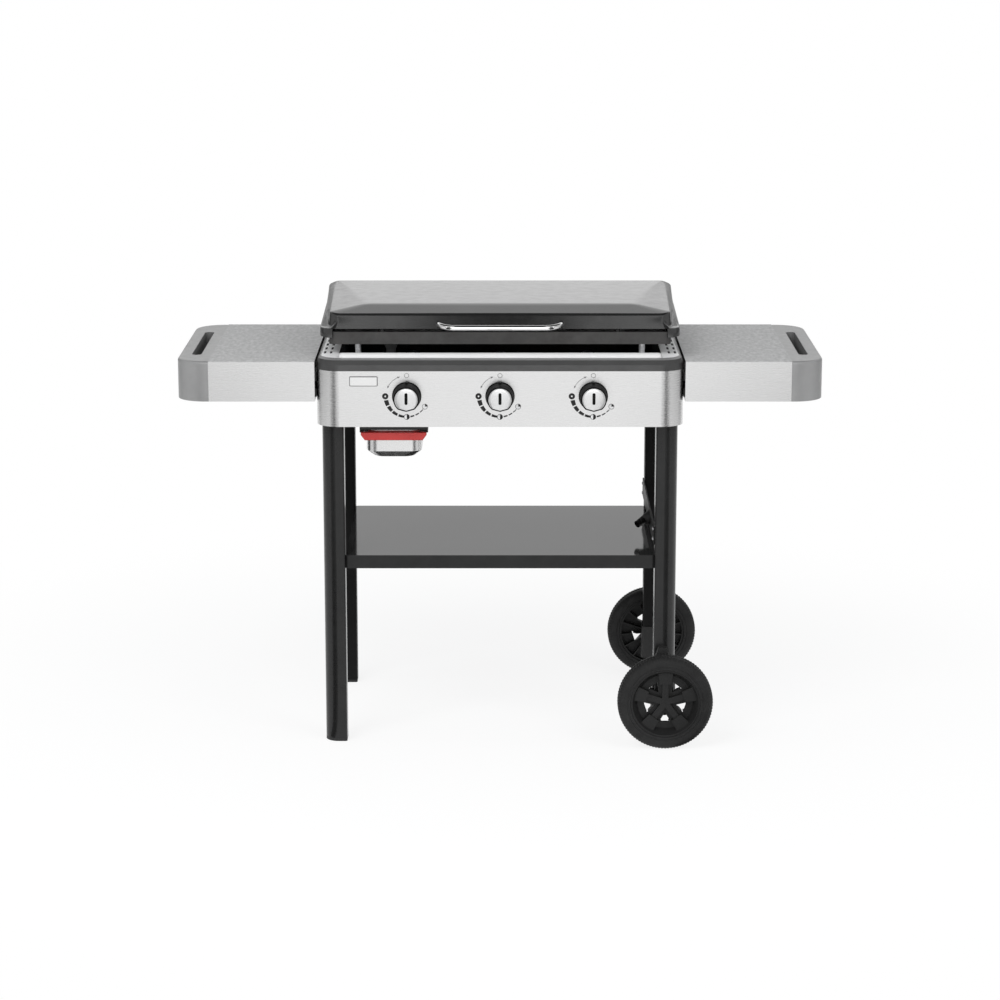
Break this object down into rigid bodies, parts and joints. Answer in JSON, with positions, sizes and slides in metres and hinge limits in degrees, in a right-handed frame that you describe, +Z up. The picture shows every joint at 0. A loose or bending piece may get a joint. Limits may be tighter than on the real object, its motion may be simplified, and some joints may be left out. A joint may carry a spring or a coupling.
{
  "type": "gas griddle",
  "caption": "Free-standing gas griddle on a wheeled cart: cooking plate under a hinged lid, push-and-turn knobs, fixed side tables, sliding grease tray and a lower shelf.",
  "frame": {"origin": "on the floor under the middle of the whole object", "axes": "+X to the right seen from the front, -Y towards the front with the knobs, +Z up"},
  "size_m": [1.376, 0.65, 0.951],
  "materials": {
    "black_frame": "satin black powder coat",
    "black_plastic": "fine-grained black moulding",
    "grey_plastic": "fine-grained grey moulding",
    "wheel_rim": "black moulding",
    "tyre": "ribbed black tyre",
    "stainless": "brushed",
    "dark_bezel": "satin dark grey",
    "bright_steel": "bright",
    "firebox_black": "matt heat-proof black",
    "griddle_steel": "dark seasoned steel",
    "lid_enamel": "gloss black enamel",
    "chrome": "polished",
    "zinc_steel": "zinc plated",
    "brass": "plain brass",
    "table_grey": "pebbled grey coat",
    "knob_black": "semi-gloss black",
    "knob_silver": "satin silver",
    "tray_red": "satin red coat",
    "foil": "bright foil",
    "ceramic": "off-white ceramic",
    "rubber": "soft black"
  },
  "bodies": {
    "cart": {"left_front_leg": "black_frame", "left_rear_leg": "black_frame", "right_front_leg": "black_frame", "right_rear_leg": "black_frame", "leg_end_caps": "black_plastic", "shelf": "black_frame", "tank_hanger": "black_frame", "frame_bolts": "zinc_steel", "wheel_axles": "zinc_steel", "axle_brackets": "black_plastic", "front_fascia": "stainless", "top_bezel": "dark_bezel", "front_rim": "bright_steel", "left_side_vent": "bright_steel", "right_side_vent": "bright_steel", "firebox": "firebox_black", "rear_panel": "black_frame", "gas_manifold": "zinc_steel", "valve_bodies": "brass", "igniter_electrodes": "ceramic", "ignition_module": "black_plastic", "knob_bezels": "knob_black", "griddle_plate": "griddle_steel", "plate_posts": "zinc_steel", "grease_chute": "zinc_steel", "tray_rails": "black_frame", "hinge_brackets": "black_frame", "hinge_pins": "zinc_steel", "right_table_top": "table_grey", "left_table_top": "table_grey", "right_table_skirt": "stainless", "left_table_skirt": "stainless", "right_table_end_cap": "grey_plastic", "left_table_end_cap": "grey_plastic", "table_rails": "black_frame", "left_burner": "zinc_steel", "centre_burner": "zinc_steel", "right_burner": "zinc_steel"},
    "lid": {"lid_shell": "lid_enamel", "lid_handle": "chrome", "lid_bumpers": "rubber", "lid_hinge_arms": "black_frame"},
    "tray": {"tray_frame": "tray_red", "drip_pan": "foil"},
    "front_wheel": {"front_wheel_rim": "wheel_rim", "front_wheel_tyre": "tyre"},
    "rear_wheel": {"rear_wheel_rim": "wheel_rim", "rear_wheel_tyre": "tyre"},
    "left_valve": {"left_valve_plug": "brass"},
    "left_knob": {"left_valve_stem": "zinc_steel", "left_knob_grip": "knob_black", "left_knob_cap": "knob_silver"},
    "centre_valve": {"centre_valve_plug": "brass"},
    "centre_knob": {"centre_valve_stem": "zinc_steel", "centre_knob_grip": "knob_black", "centre_knob_cap": "knob_silver"},
    "right_valve": {"right_valve_plug": "brass"},
    "right_knob": {"right_valve_stem": "zinc_steel", "right_knob_grip": "knob_black", "right_knob_cap": "knob_silver"}
  },
  "joints": [
    {"name": "lid_hinge", "type": "hinge", "parent": "cart", "child": "lid", "pos_m": [0, 0.221, 0.905], "axis": [-1, 0, 0], "range_deg": [0, 95]},
    {"name": "tray_slide", "type": "slide", "parent": "cart", "child": "tray", "axis": [0, -1, 0], "range_m": [0, 0.14]},
    {"name": "front_wheel_roll", "type": "hinge", "parent": "cart", "child": "front_wheel", "pos_m": [0.3565, -0.285, 0.103], "axis": [0, 1, 0], "continuous": true},
    {"name": "rear_wheel_roll", "type": "hinge", "parent": "cart", "child": "rear_wheel", "pos_m": [0.3565, 0.303, 0.103], "axis": [0, 1, 0], "continuous": true},
    {"name": "left_knob_turn", "type": "hinge", "parent": "cart", "child": "left_valve", "pos_m": [-0.197, -0.241, 0.772], "axis": [0, -1, 0], "range_deg": [0, 240]},
    {"name": "left_knob_push", "type": "slide", "parent": "left_valve", "child": "left_knob", "axis": [0, 1, 0], "range_m": [0, 0.004], "stiffness_N_per_m": 800},
    {"name": "centre_knob_turn", "type": "hinge", "parent": "cart", "child": "centre_valve", "pos_m": [0, -0.241, 0.772], "axis": [0, -1, 0], "range_deg": [0, 240]},
    {"name": "centre_knob_push", "type": "slide", "parent": "centre_valve", "child": "centre_knob", "axis": [0, 1, 0], "range_m": [0, 0.004], "stiffness_N_per_m": 800},
    {"name": "right_knob_turn", "type": "hinge", "parent": "cart", "child": "right_valve", "pos_m": [0.197, -0.241, 0.772], "axis": [0, -1, 0], "range_deg": [0, 240]},
    {"name": "right_knob_push", "type": "slide", "parent": "right_valve", "child": "right_knob", "axis": [0, 1, 0], "range_m": [0, 0.004], "stiffness_N_per_m": 800}
  ]
}
